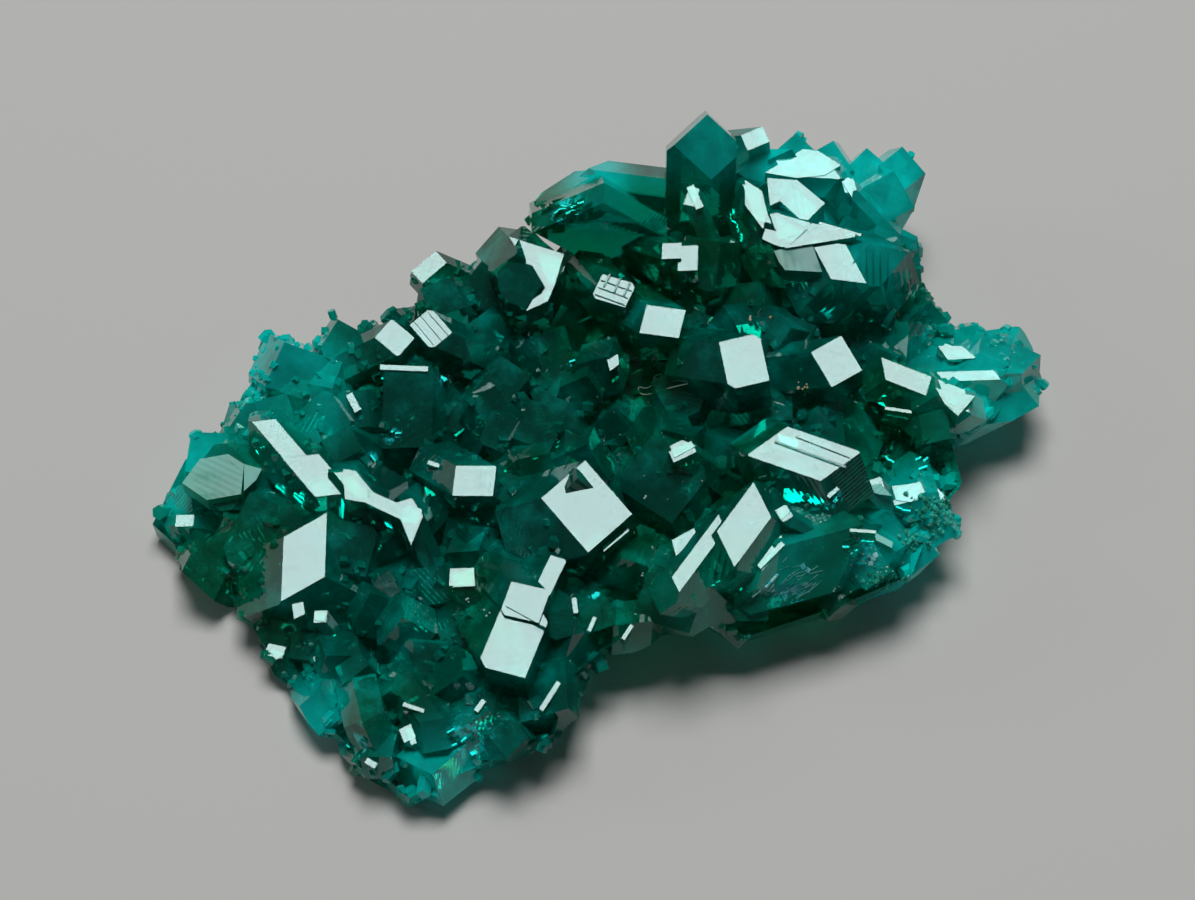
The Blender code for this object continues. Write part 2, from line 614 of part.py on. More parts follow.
def keep_largest_piece(mesh):
    """Drops the crumbs that the break underneath has cut loose."""
    shape = bmesh.new()
    shape.from_mesh(mesh)
    unseen = set(shape.verts)
    pieces = []
    while unseen:
        piece = {unseen.pop()}
        edge = list(piece)
        while edge:
            found = {link.other_vert(vert) for vert in edge for link in vert.link_edges} - piece
            piece |= found
            edge = list(found)
        unseen -= piece
        pieces.append(piece)
    pieces.sort(key=len)
    crumbs = [vert for piece in pieces[:-1] for vert in piece]
    bmesh.ops.delete(shape, geom=crumbs, context="VERTS")
    shape.to_mesh(mesh)
    shape.free()


def build_cluster():
    named = []
    crystals = []
    for row in SKY_FACES + DARK_FACES:
        crystals.append(face_crystal(*row))
        _, _, across, up, height, _, half_length, half_width = row[:8]
        named.append((seen(across, up, height), (half_length + half_width) * FACE_REACH * MM))
    for name, across, up, height, girth, lean, towards, first_end in TIPS:
        tip = seen(across, up, height)
        wobble = random.Random(name)
        crystals.append(tip_crystal(name, tip, girth * MM, lean, towards, first_end, wobble, DEEP_ROOT))
        named.append((tip, girth * TIP_REACH * MM))
    samples = [spot for spot, _ in named]
    samples += [Vector((x, y, rim + EDGE_THICKNESS)) * MM for x, y, rim, _ in OUTLINE]
    crystals += ground_crystals(named, samples)
    crystals += rim_crystals(named)
    mesh = joined(crystal_mass(samples), crystals, missing_underside())
    keep_largest_piece(mesh)
    mesh.name = "dioptase_cluster"
    cluster = bpy.data.objects.new("dioptase_cluster", mesh)
    bpy.context.scene.collection.objects.link(cluster)
    mesh.shade_flat()
    mesh.materials.clear()
    mesh.materials.append(crystal_material())


for old in list(bpy.data.objects):
    bpy.data.objects.remove(old)
build_cluster()
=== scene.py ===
# %% [markdown]
# # Dressing a dioptase cluster
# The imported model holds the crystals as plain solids. Here they get the look of the real mineral: clear, deep
# green crystal with bright flat faces, fine growth steps, tiny crystals in the gaps and a little pale matrix.
# Everything is in metres, in the frame of the model, with the resting face at Z = 0.

import math
import random

import bpy
from mathutils import Matrix, Vector
from mathutils.bvhtree import BVHTree


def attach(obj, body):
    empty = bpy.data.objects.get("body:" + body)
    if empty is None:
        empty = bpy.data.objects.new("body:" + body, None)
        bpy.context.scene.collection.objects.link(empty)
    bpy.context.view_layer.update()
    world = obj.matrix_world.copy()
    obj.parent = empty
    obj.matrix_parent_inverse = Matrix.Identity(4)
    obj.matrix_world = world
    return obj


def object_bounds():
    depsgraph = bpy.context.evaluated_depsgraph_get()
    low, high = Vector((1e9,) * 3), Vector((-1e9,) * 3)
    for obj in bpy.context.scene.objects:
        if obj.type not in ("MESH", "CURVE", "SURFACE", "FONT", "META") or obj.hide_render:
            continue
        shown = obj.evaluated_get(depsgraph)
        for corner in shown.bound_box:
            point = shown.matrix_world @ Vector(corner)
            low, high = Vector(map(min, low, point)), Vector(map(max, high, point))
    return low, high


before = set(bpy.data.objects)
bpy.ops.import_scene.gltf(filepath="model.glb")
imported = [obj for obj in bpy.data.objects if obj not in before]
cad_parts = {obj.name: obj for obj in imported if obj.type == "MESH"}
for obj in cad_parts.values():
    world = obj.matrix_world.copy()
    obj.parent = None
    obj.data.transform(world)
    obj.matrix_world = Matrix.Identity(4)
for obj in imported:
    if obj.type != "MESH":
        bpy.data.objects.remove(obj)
cad_box = [list(corner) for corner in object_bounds()]
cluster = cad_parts["dioptase_cluster"]
MM = 0.001
print("nodes:", sorted(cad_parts), "box:", cad_box)

# %% [markdown]
# ## Where the eye is
# The crystals in the model are turned so that many faces catch one patch of sky for an eye that looks down at
# 55 degrees. The camera stands exactly there. A long lens from a short way off gives the picture its slight
# perspective.

# %% Camera
PICTURE_WIDTH = 1195
PICTURE_HEIGHT = 900
EYE_RISE = math.radians(55)
EYE_DISTANCE = 165 * MM
SIGHT_POINT = Vector((0, 0, 6 * MM))
LENS = 90
SENSOR = 36

sight = Vector((0, math.cos(EYE_RISE), -math.sin(EYE_RISE)))
upward = Vector((0, math.sin(EYE_RISE), math.cos(EYE_RISE)))
eye = SIGHT_POINT - sight * EYE_DISTANCE
camera_data = bpy.data.cameras.new("camera")
camera_data.lens = LENS
camera_data.sensor_width = SENSOR
camera_data.clip_start = 1 * MM
camera = bpy.data.objects.new("camera", camera_data)
bpy.context.scene.collection.objects.link(camera)
camera.location = eye
camera.rotation_euler = (math.pi / 2 - EYE_RISE, 0, 0)
bpy.context.scene.camera = camera
print("camera at", [round(value, 4) for value in eye])

# %% [markdown]
# ## Light
# One soft box stands high behind the cluster, where its mirror image fills the faces that lean a little
# towards the eye with plain white. It also lights the floor, which the thin edges of the crystals show as
# bright teal, helped by a painted glow in the crystal finish. A second, weak box at the left gives the side
# faces a little shape. The world stays dim, because clear crystal mirrors it everywhere.

# %% Soft boxes
# Name, azimuth and rise in degrees, distance, side and power
SOFT_BOXES = (
    ("key", 90, 75, 0.6, 0.28, 2.5),
    ("left fill", 170, 25, 0.7, 0.2, 0.25),
)
WORLD_BLUE = (0.75, 0.92, 1.0)
WORLD_STRENGTH = 0.045


def soft_box(name, azimuth, rise, distance, side, power):
    """Square area light that faces the cluster. The angles are in degrees."""
    turn, lift = math.radians(azimuth), math.radians(rise)
    flat = math.cos(lift)
    away = Vector((flat * math.cos(turn), flat * math.sin(turn), math.sin(lift)))
    light = bpy.data.lights.new(name, "AREA")
    light.size = side
    light.energy = power
    lamp = bpy.data.objects.new(name, light)
    bpy.context.scene.collection.objects.link(lamp)
    lamp.location = SIGHT_POINT + away * distance
    lamp.rotation_euler = away.to_track_quat("Z", "Y").to_euler()


for row in SOFT_BOXES:
    soft_box(*row)

world = bpy.data.worlds.new("studio")
bpy.context.scene.world = world
world.use_nodes = True
background = world.node_tree.nodes["Background"]
background.inputs["Color"].default_value = (*WORLD_BLUE, 1.0)
background.inputs["Strength"].default_value = WORLD_STRENGTH
bpy.context.scene.view_settings.view_transform = "Standard"
print("lights:", [item.name for item in bpy.data.lights])

# %% [markdown]
# ## The floor
# A plain pale floor lies a hair below the resting face, so that the two surfaces never share a plane.

# %% Floor
FLOOR_SIZE = 3.0
FLOOR_GAP = 0.15 * MM
FLOOR_GREY = (0.62, 0.61, 0.59)
FLOOR_ROUGHNESS = 0.8


def plain_material(name, colour, roughness):
    material = bpy.data.materials.new(name)
    material.use_nodes = True
    shader = material.node_tree.nodes["Principled BSDF"]
    shader.inputs["Base Color"].default_value = (*colour, 1.0)
    shader.inputs["Roughness"].default_value = roughness
    return material, shader


bpy.ops.object.select_all(action="DESELECT")
bpy.ops.mesh.primitive_plane_add(size=FLOOR_SIZE, location=(0, 0, -FLOOR_GAP))
floor = bpy.context.object
floor.name = "floor"
floor.data.materials.append(plain_material("floor", FLOOR_GREY, FLOOR_ROUGHNESS)[0])
print("floor", FLOOR_SIZE, "m wide")

# %% [markdown]
# ## Finding the surface
# Small features are placed where they are seen in the picture, and they have to sit on the crystals behind
# that point. So a ray goes from the eye through a point of the picture, and the place where it meets the
# cluster is where the feature goes. The places are given in picture points, from the top left corner.

# %% Rays from the eye
MIDDLE_OF_CLUSTER = (590, 520)

triangles = [tuple(face.vertices) for face in cluster.data.polygons]
surface = BVHTree.FromPolygons([vertex.co for vertex in cluster.data.vertices], triangles)


def line_of_sight(across, down):
    """Direction from the eye through this point of the picture."""
    right = (across - PICTURE_WIDTH / 2) / PICTURE_WIDTH * SENSOR
    rise = (PICTURE_HEIGHT / 2 - down) / PICTURE_WIDTH * SENSOR
    return (Vector((right, 0, 0)) + upward * rise + sight * LENS).normalized()


def met(across, down):
    """Point and normal of the cluster behind this point of the picture, or None where there is none."""
    point, normal, _, _ = surface.ray_cast(eye, line_of_sight(across, down))
    return (point, normal) if point else None


def seen_at(point):
    """Picture point at which the eye sees this point."""
    offset = point - eye
    scale = LENS / SENSOR * PICTURE_WIDTH / offset.dot(sight)
    return PICTURE_WIDTH / 2 + offset.x * scale, PICTURE_HEIGHT / 2 - offset.dot(upward) * scale


middle_spot, _ = met(*MIDDLE_OF_CLUSTER)
print("the middle of the cluster is", round(middle_spot.z / MM, 2), "mm high")

# %% [markdown]
# ## Helpers for materials
# Each finish is a small tree of nodes. These helpers make one node each and link it, so that the materials
# below read as a list of steps. All patterns are fixed to the object by its own coordinates.

# %% Node helpers
# Share of a place's reach within which it has its full value
FULL_WITHIN = 0.3
# Where the noise of a mottled colour starts to turn to the second colour
MOTTLE_START = 0.4


def node(tree, kind, **inputs):
    """Node of this kind with the constant inputs given by name, underscores for spaces."""
    made = tree.nodes.new(kind)
    for name, value in inputs.items():
        made.inputs[name.replace("_", " ")].default_value = value
    return made


def noise(tree, place, scale, detail=3, roughness=0.5):
    made = node(tree, "ShaderNodeTexNoise", Scale=scale, Detail=detail, Roughness=roughness)
    tree.links.new(place, made.inputs["Vector"])
    return made.outputs["Fac"]


def ranged(tree, value, low, high, to_low=0.0, to_high=1.0):
    made = node(tree, "ShaderNodeMapRange", From_Min=low, From_Max=high, To_Min=to_low, To_Max=to_high)
    made.interpolation_type = "SMOOTHSTEP"
    tree.links.new(value, made.inputs["Value"])
    return made.outputs["Result"]


def combined(tree, operation, first, second=0.0):
    """Math node of two values or sockets."""
    made = tree.nodes.new("ShaderNodeMath")
    made.operation = operation
    for socket, value in zip(made.inputs, (first, second)):
        if isinstance(value, (int, float)):
            socket.default_value = value
        else:
            tree.links.new(value, socket)
    return made.outputs["Value"]


def blended(tree, share, first, second):
    """Colour between two colours, each a tuple or a socket."""
    made = tree.nodes.new("ShaderNodeMix")
    made.data_type = "RGBA"
    tree.links.new(share, made.inputs["Factor"])
    for socket, value in ((made.inputs[6], first), (made.inputs[7], second)):
        if isinstance(value, tuple):
            socket.default_value = (*value, 1.0)
        else:
            tree.links.new(value, socket)
    return made.outputs[2]


def nearness(tree, place, centres):
    """The share given for each place in its middle, and 0 beyond its reach in millimetres."""
    total = None
    for centre, reach, share in centres:
        distance = tree.nodes.new("ShaderNodeVectorMath")
        distance.operation = "DISTANCE"
        distance.inputs[1].default_value = centre
        tree.links.new(place, distance.inputs[0])
        here = ranged(tree, distance.outputs["Value"], reach * MM, FULL_WITHIN * reach * MM, 0.0, share)
        total = here if total is None else combined(tree, "MAXIMUM", total, here)
    return total


def mottle(material, scale, detail, end, first, second):
    """Lets the colour of a material drift between two colours."""
    tree = material.node_tree
    place = tree.nodes.new("ShaderNodeTexCoord").outputs["Object"]
    share = ranged(tree, noise(tree, place, scale, detail), MOTTLE_START, end)
    tint = blended(tree, share, first, second)
    tree.links.new(tint, tree.nodes["Principled BSDF"].inputs["Base Color"])


print("helpers ready")

# %% [markdown]
# ## Clear green crystal
# Dioptase is see-through where it is thin and nearly black where it is thick. That is absorption: the light
# that crosses the crystal loses its red at once and its green and blue slowly. So the body is glass with the
# refractive index of dioptase and an absorbing volume, and a small share of it is cloudy, as the fine cracks
# inside make it. Towards the thin broken ends the cloudy share is larger and paler teal: a painted glow that
# stands in for light shining through there. In the bright veils it is largest and cyan: painted glints for
# the light that flat cracks throw back. A bump draws fine growth lines, in another direction from crystal
# to crystal.

# %% Crystal finish
REFRACTIVE_INDEX = 1.67
ABSORPTION_COLOUR = (0.0, 0.885, 0.868)
ABSORPTION_DENSITY = 640
SKY_WHITE = (0.76, 1.0, 1.0)
SPECULAR_LEVEL = 0.42
DEEP_GREEN = (0.0, 0.42, 0.31)
MOSS_GREEN = (0.0, 0.44, 0.2)
# Pale teal of the painted glow in the thin places, and of the clouds
PAINTED_GLOW_AND_CLOUD_TEAL = (0.0, 0.95, 0.88)
# Cyan of the painted glints in the veils
PAINTED_GLINT_CYAN = (0.02, 1.0, 1.0)

# Fineness of the patterns, in cells for each metre
HUE_SCALE = 110
PATCH_SCALE = 180
CLOUD_SCALE = 320
POLISH_SCALE = 700
PAINTED_GLINT_SCALE = 1500
# Share of the body that is cloudy everywhere, in the clouds, in the painted glow of the thin places and in the
# painted glints of the veils
LEAST_CLOUDY = 0.1
CLOUD_SHARE = 0.28
PAINTED_GLOW_SHARE = 0.45
PAINTED_GLINT_SHARE = 0.85
# The clearest that the body gets, and how far the clouds turn its colour to teal
CLEAREST = 0.97
CLOUD_PALENESS = 0.35
SMOOTHEST = 0.02
ROUGHEST = 0.16
# Growth lines: patches of one direction for each metre, closeness, strength and height of the lines
GROWTH_CELLS = 260.0
GROWTH_RATE = 42000.0
GROWTH_STRENGTH = 0.25
GROWTH_HEIGHT = 0.012 * MM

# Painted glow where the cluster is thin, paler teal and cloudier in place of light shining through: centre of
# each place, its reach in millimetres, and how cloudy it is
PAINTED_GLOW_PLACES = (
    (-23, 1, 2, 6, 0.9),
    (-18, 6, 4, 7, 0.85),
    (15, 19, 6, 8, 1.0),
    (11, 20, 7, 5, 1.0),
    (24, 6, 4, 9, 1.0),
    (18, -4, 3, 7, 1.0),
    (-8, -19, 2, 5, 0.9),
    (-15, -14, 1, 4, 0.8),
    (0, 17, 9, 3, 1.0),
)
# The same painted glow for places given by picture point, reach in millimetres, and how cloudy they are
PAINTED_GLOW_SPOTS = (
    (705, 150, 5.0, 0.6),
    (600, 200, 4.5, 0.3),
    (820, 205, 4.0, 0.6),
    (872, 262, 3.2, 0.75),
    (760, 590, 4.0, 0.45),
    (700, 600, 4.0, 0.4),
    (820, 560, 4.5, 0.4),
    (860, 555, 3.0, 0.8),
)
# Painted glints: bright cyan veils in place of light thrown back by flat cracks, given in the same way
PAINTED_GLINT_VEILS = (
    (567, 210, 1.7, 1.0),
    (885, 457, 0.8, 1.0),
    (920, 453, 1.2, 1.0),
    (372, 458, 0.6, 1.0),
    (441, 376, 0.7, 1.0),
    (392, 436, 0.7, 1.0),
    (547, 308, 0.6, 1.0),
    (566, 367, 0.6, 1.0),
    (834, 500, 0.8, 1.0),
    (470, 742, 2.2, 0.9),
    (868, 552, 1.6, 0.9),
    (790, 600, 1.4, 0.7),
    (595, 595, 0.6, 0.8),
    (360, 745, 1.2, 0.8),
    (1000, 380, 1.2, 0.6),
)


def growth_lines(tree, place):
    """Height of fine parallel lines, whose direction changes from crystal to crystal."""
    cells = node(tree, "ShaderNodeTexVoronoi", Scale=GROWTH_CELLS)
    tree.links.new(place, cells.inputs["Vector"])
    turn = tree.nodes.new("ShaderNodeVectorMath")
    turn.operation = "SUBTRACT"
    turn.inputs[1].default_value = (0.5, 0.5, 0.5)
    tree.links.new(cells.outputs["Color"], turn.inputs[0])
    across = tree.nodes.new("ShaderNodeVectorMath")
    across.operation = "DOT_PRODUCT"
    tree.links.new(turn.outputs["Vector"], across.inputs[0])
    tree.links.new(place, across.inputs[1])
    wave = combined(tree, "SINE", combined(tree, "MULTIPLY", across.outputs["Value"], GROWTH_RATE))
    shade = tree.nodes.new("ShaderNodeSeparateColor")
    tree.links.new(cells.outputs["Color"], shade.inputs["Color"])
    return combined(tree, "MULTIPLY", wave, ranged(tree, shade.outputs["Red"], 0.4, 0.8))


def spots_on(rows):
    """Centre, reach and share of places that are given by their picture point."""
    spots = []
    for across, down, reach, share in rows:
        hit = met(across, down)
        if hit:
            spots.append((hit[0], reach, share))
    return spots


def crystal_material(name, cloudiness=0.0, with_painted_glints=True, lined=True, mirror=SKY_WHITE, dullness=0.0):
    """Clear crystal, with a painted glow in the thin places and, if asked, painted glints in the veils. The
    dullness is the roughness that a frosted face has on top of the usual.
    """
    material, shader = plain_material(name, PAINTED_GLOW_AND_CLOUD_TEAL, 0.03)
    tree = material.node_tree
    links = tree.links
    shader.inputs["IOR"].default_value = REFRACTIVE_INDEX
    shader.inputs["Specular IOR Level"].default_value = SPECULAR_LEVEL
    shader.inputs["Specular Tint"].default_value = (*mirror, 1.0)
    body = node(tree, "ShaderNodeVolumeAbsorption", Density=ABSORPTION_DENSITY)
    body.inputs["Color"].default_value = (*ABSORPTION_COLOUR, 1.0)
    links.new(body.outputs["Volume"], tree.nodes["Material Output"].inputs["Volume"])
    place = tree.nodes.new("ShaderNodeTexCoord").outputs["Object"]
    # Painted glow: the thin places turn paler teal and cloudier, in place of light shining through them
    painted_glow_mask = [(Vector(row[:3]) * MM, row[3], row[4]) for row in PAINTED_GLOW_PLACES] + spots_on(PAINTED_GLOW_SPOTS)
    patchy = ranged(tree, noise(tree, place, PATCH_SCALE, 4, 0.6), 0.35, 0.65, 0.6, 1.0)
    painted_glow_mask = combined(tree, "MULTIPLY", nearness(tree, place, painted_glow_mask), patchy)
    cloud = ranged(tree, noise(tree, place, CLOUD_SCALE, 6, 0.65), 0.42, 0.75)
    mossy = ranged(tree, noise(tree, place, HUE_SCALE, 2), 0.45, 0.62)
    deep = blended(tree, mossy, DEEP_GREEN, MOSS_GREEN)
    # Share of paler teal, from the painted glow and from the clouds
    pale = combined(tree, "MAXIMUM", painted_glow_mask, combined(tree, "MULTIPLY", cloud, CLOUD_PALENESS))
    tint = blended(tree, pale, deep, PAINTED_GLOW_AND_CLOUD_TEAL)
    cloudy = combined(tree, "MULTIPLY", cloud, CLOUD_SHARE)
    cloudy = combined(tree, "ADD", cloudy, combined(tree, "MULTIPLY", painted_glow_mask, PAINTED_GLOW_SHARE))
    cloudy = combined(tree, "ADD", cloudy, cloudiness + LEAST_CLOUDY)
    # Painted glints: cyan, nearly opaque spots in the veils, in place of light thrown back by cracks
    if with_painted_glints:
        painted_glint_noise = ranged(tree, noise(tree, place, PAINTED_GLINT_SCALE, 5, 0.7), 0.47, 0.56)
        painted_glint_mask = combined(tree, "MULTIPLY", nearness(tree, place, spots_on(PAINTED_GLINT_VEILS)), painted_glint_noise)
        tint = blended(tree, painted_glint_mask, tint, PAINTED_GLINT_CYAN)
        cloudy = combined(tree, "MAXIMUM", cloudy, combined(tree, "MULTIPLY", painted_glint_mask, PAINTED_GLINT_SHARE))
    links.new(tint, shader.inputs["Base Color"])
    clear = combined(tree, "SUBTRACT", CLEAREST, cloudy)
    links.new(clear, shader.inputs["Transmission Weight"])
    worn = noise(tree, place, POLISH_SCALE, 4)
    rough = ranged(tree, worn, 0.5, 0.8, SMOOTHEST + dullness, ROUGHEST + dullness)
    links.new(rough, shader.inputs["Roughness"])
    if lined:
        height = growth_lines(tree, place)
        bump = node(tree, "ShaderNodeBump", Strength=GROWTH_STRENGTH, Distance=GROWTH_HEIGHT)
        links.new(height, bump.inputs["Height"])
        links.new(bump.outputs["Normal"], shader.inputs["Normal"])
    return material


crystal = crystal_material("clear dioptase")
cluster.data.materials.clear()
cluster.data.materials.append(crystal)
print("crystal finish on", cluster.name)

# %% [markdown]
# ## Cutting small blocks
# A growth step is a low block with flat sides and a flat top, so it is made as a mason would: a cube is set
# square to the face, and a cut along each side takes the rest away. Its top is laid just above the highest
# point of the crystals behind it, and its foot reaches below the lowest, so it always stands in the cluster.

# %% Blocks and ridges
SKY_LEAN = math.radians(10)
SKY_NORMAL = Vector((0, -math.sin(SKY_LEAN), math.cos(SKY_LEAN)))
STEP_LIFT = 0.05 * MM
STEP_FOOT = 0.6 * MM
MOST_STEP = 0.9 * MM
# Width of the cube that a block is cut from, as a share of the reach of its corners
BLANK_WIDTH = 3


def finished(name, material):
    """Names the object that was just made, gives it its finish and ties it to the cluster."""
    piece = bpy.context.object
    piece.name = name
    piece.data.name = name
    piece.data.materials.clear()
    piece.data.materials.append(material)
    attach(piece, "root")
    return piece


def on_plane(across, down, point, normal):
    """Where the line of sight through this picture point crosses a plane."""
    ray = line_of_sight(across, down)
    return eye + ray * ((point - eye).dot(normal) / ray.dot(normal))


def keep_inside(cuts):
    """Cuts the mesh in edit mode along each (point, normal) and closes it."""
    for point, normal in cuts:
        bpy.ops.mesh.select_all(action="SELECT")
        bpy.ops.mesh.bisect(plane_co=point, plane_no=normal, use_fill=True, clear_outer=True)


def level_over(outlines, normal, lift):
    """Top point and depth of blocks that cover the cluster inside these picture outlines."""
    samples = []
    for corners in outlines:
        middle = tuple(sum(corner[axis] for corner in corners) / len(corners) for axis in (0, 1))
        samples += [middle] + list(corners)
        samples += [tuple((corner[axis] + middle[axis]) / 2 for axis in (0, 1)) for corner in corners]
    hits = [met(*sample) for sample in samples]
    if hits[0] is None:
        return None
    base = hits[0][0]
    heights = [(hit[0] - base).dot(normal) for hit in hits if hit]
    near = [height for height in heights if abs(height) < MOST_STEP]
    return base + normal * (max(near) + lift), max(near) - min(near) + STEP_FOOT


def block_of(corners, top, depth, normal, roof=False):
    """Block whose top has these corners in the picture. A roof slopes down to both long sides."""
    points = [on_plane(*corner, top, normal) for corner in corners]
    centre = sum(points, Vector()) / len(corners)
    width = BLANK_WIDTH * max((point - centre).length for point in points)
    side = (points[1] - points[0]).normalized()
    frame_axes = Matrix((side, normal.cross(side), normal)).transposed().to_4x4()
    bpy.ops.object.select_all(action="DESELECT")
    bpy.ops.mesh.primitive_cube_add(size=1)
    block = bpy.context.object
    sizes = Matrix.Diagonal((width, width, depth, 1))
    block.matrix_world = Matrix.Translation(centre - normal * depth / 2) @ frame_axes @ sizes
    bpy.ops.object.transform_apply(location=True, rotation=True, scale=True)
    bpy.ops.object.mode_set(mode="EDIT")
    cuts = []
    for start, end in zip(points, points[1:] + points[:1]):
        outward = (end - start).cross(normal).normalized()
        if outward.dot(centre - start) > 0:
            outward = -outward
        cuts.append((start, outward))
    if roof:
        across = side.cross(normal)
        cuts += [(centre, (across * hand + normal).normalized()) for hand in (1, -1)]
    keep_inside(cuts)
    bpy.ops.object.mode_set(mode="OBJECT")
    return block


def blocks_on(outlines, normal=SKY_NORMAL, lift=STEP_LIFT, roof=False):
    """Blocks with one level top for a list of outlines, each without an inward corner."""
    level = level_over(outlines, normal, lift)
    return [block_of(corners, *level, normal, roof) for corners in outlines] if level else []


def all_blocks(plates, **options):
    """Blocks for a row of plates, each a list of outlines that share one level."""
    return [block for outlines in plates for block in blocks_on(outlines, **options)]


def strip(start, end, width):
    """Corners of a narrow band between two picture points."""
    run = Vector((end[0] - start[0], end[1] - start[1])).normalized() * width / 2
    side = (-run.y, run.x)
    return [
        (start[0] + side[0], start[1] + side[1]),
        (end[0] + side[0], end[1] + side[1]),
        (end[0] - side[0], end[1] - side[1]),
        (start[0] - side[0], start[1] - side[1]),
    ]


def strips(bands):
    """A plate of its own for each narrow band."""
    return [[strip(*band)] for band in bands]


def joined_as(name, pieces, material):
    """One object of all these pieces, without the ones that would reach below the resting face."""
    sunk = [piece for piece in pieces if min(vertex.co.z for vertex in piece.data.vertices) < 0]
    pieces = [piece for piece in pieces if piece not in sunk]
    for piece in sunk:
        bpy.data.objects.remove(piece)
    bpy.ops.object.select_all(action="DESELECT")
    for piece in pieces:
        piece.select_set(True)
    bpy.context.view_layer.objects.active = pieces[0]
    if len(pieces) > 1:
        bpy.ops.object.join()
    return finished(name, material)


print("sky faces lean", round(math.degrees(SKY_LEAN)), "degrees towards the eye")

# %% [markdown]
# ## Growth steps that catch the sky
# On the real crystals the big faces are broken up by thin plates, each with a level top of its own. The
# picture shows them as white slivers and broken corners. Every plate is a list of outlines that share one
# level.

# %% Lit steps
LIT_PLATES = (
    [
        [(510, 237), (564, 254), (555, 284), (541, 286), (513, 243)],
        [(541, 286), (555, 284), (548, 301), (526, 311)],
    ],
    [
        [(343, 469), (352, 470), (372, 491), (368, 503), (345, 499)],
        [(368, 490), (397, 503), (402, 520), (366, 503)],
        [(395, 503), (412, 498), (423, 516), (411, 545), (400, 518)],
    ],
    [[(763, 174), (803, 149), (818, 151), (841, 165), (815, 181), (797, 178), (769, 181)]],
    [
        [(797, 180), (825, 203), (808, 220), (800, 219), (780, 201)],
        [(767, 178), (797, 180), (780, 201), (770, 206)],
    ],
    [
        [(762, 239), (770, 214), (779, 213), (808, 230), (787, 248), (775, 245)],
        [(787, 248), (812, 223), (857, 233), (854, 237)],
    ],
    [[(745, 180), (762, 191), (767, 212), (763, 229), (745, 205)]],
    [[(938, 346), (962, 346), (976, 358), (948, 360)]],
    [[(936, 388), (975, 396), (958, 416), (944, 403)]],
    [[(892, 486), (921, 483), (925, 492), (910, 502), (896, 500)]],
    [[(670, 446), (682, 440), (696, 446), (674, 458)]],
    [[(672, 540), (694, 528), (697, 536), (676, 556)]],
    [[(776, 510), (784, 505), (790, 512), (781, 520)]],
    [[(607, 360), (618, 354), (619, 364), (610, 371)]],
    [[(452, 574), (474, 568), (475, 586), (453, 587)]],
    [[(316, 611), (327, 614), (324, 622), (315, 620)]],
    [[(292, 604), (303, 602), (305, 614), (294, 619)]],
    [[(842, 182), (848, 177), (855, 182), (851, 196)]],
    [[(266, 645), (276, 650), (288, 652), (276, 660)]],
)
LIT_STRIPS = (
    ((574, 598), (576, 613), 5),
    ((589, 631), (595, 617), 4),
    ((605, 662), (618, 650), 4),
    ((623, 639), (632, 625), 4),
    ((476, 711), (484, 700), 5),
    ((403, 704), (424, 711), 4),
    ((380, 367), (428, 369), 5),
    ((349, 394), (358, 411), 7),
    ((603, 550), (628, 529), 4),
    ((891, 450), (899, 422), 3),
    ((899, 422), (916, 450), 2),
    ((885, 408), (912, 412), 3),
    ((887, 413), (914, 418), 2),
    ((759, 567), (783, 543), 5),
    ((541, 710), (559, 682), 5),
    ((408, 728), (414, 744), 6),
    ((366, 760), (376, 766), 6),
    ((428, 462), (439, 466), 4),
    ((690, 186), (700, 208), 8),
    ((850, 530), (876, 532), 3),
    ((828, 497), (838, 488), 4),
    ((162, 543), (178, 550), 3),
)

lit_steps = joined_as("lit_steps", all_blocks(LIT_PLATES) + all_blocks(strips(LIT_STRIPS)), crystal)
print(lit_steps.name, len(lit_steps.data.polygons), "faces")

# %% [markdown]
# Two corners of the model catch the sky where the real crystal is dark. A wedge whose top leans away from
# the sky covers each of them.

# %% Dark wedges
WEDGE_LIFT = 0.12 * MM
# Outline in the picture, and how much the top leans to the right and to the back
WEDGES = (
    ([(497, 272), (508, 262), (528, 264), (541, 286), (526, 309), (508, 302), (499, 290)], (-0.55, -0.5)),
    ([(768, 160), (770, 149), (792, 149)], (-0.5, 0.1)),
)


def leaning(across, along):
    """Normal of a face that leans this much to the right and to the back."""
    return Vector((across, along, 1)).normalized()


wedges = []
for corners, lean in WEDGES:
    wedges += blocks_on([corners], leaning(*lean), lift=WEDGE_LIFT)
dark_wedges = joined_as("dark_wedges", wedges, crystal)
print(dark_wedges.name, len(dark_wedges.data.polygons), "faces")

# %% [markdown]
# ## Frosted faces
# A few end faces are etched. They spread the mirror image of the sky, so they look grey instead of white, and
# fine growth lines cross them.

# %% Frosted plates
FROSTED_PLATES = (
    [[(182, 483), (200, 459), (228, 454), (244, 464), (241, 494), (207, 500)]],
    [[(774, 251), (811, 241), (820, 266), (822, 272), (785, 270), (779, 262)]],
    [[(244, 464), (262, 469), (256, 480), (244, 491)]],
    [[(874, 532), (893, 542), (892, 548), (876, 540)]],
    [[(862, 488), (880, 483), (892, 496), (878, 494)]],
)

frosted = crystal_material("frosted faces", cloudiness=0.15, with_painted_glints=False, dullness=0.37)
frosted_faces = joined_as("frosted_faces", all_blocks(FROSTED_PLATES), frosted)
print(frosted_faces.name, len(frosted_faces.data.polygons), "faces")

# %% [markdown]
# ## Lines on the faces
# Cracks and growth lines cross the bright faces as thin dark lines. A low ridge gives such a line, because
# its two slopes lean away from the patch of sky. The comb on one crystal at the back is a row of them.

# %% Dark lines
RIDGE_LIFT = 0.09 * MM
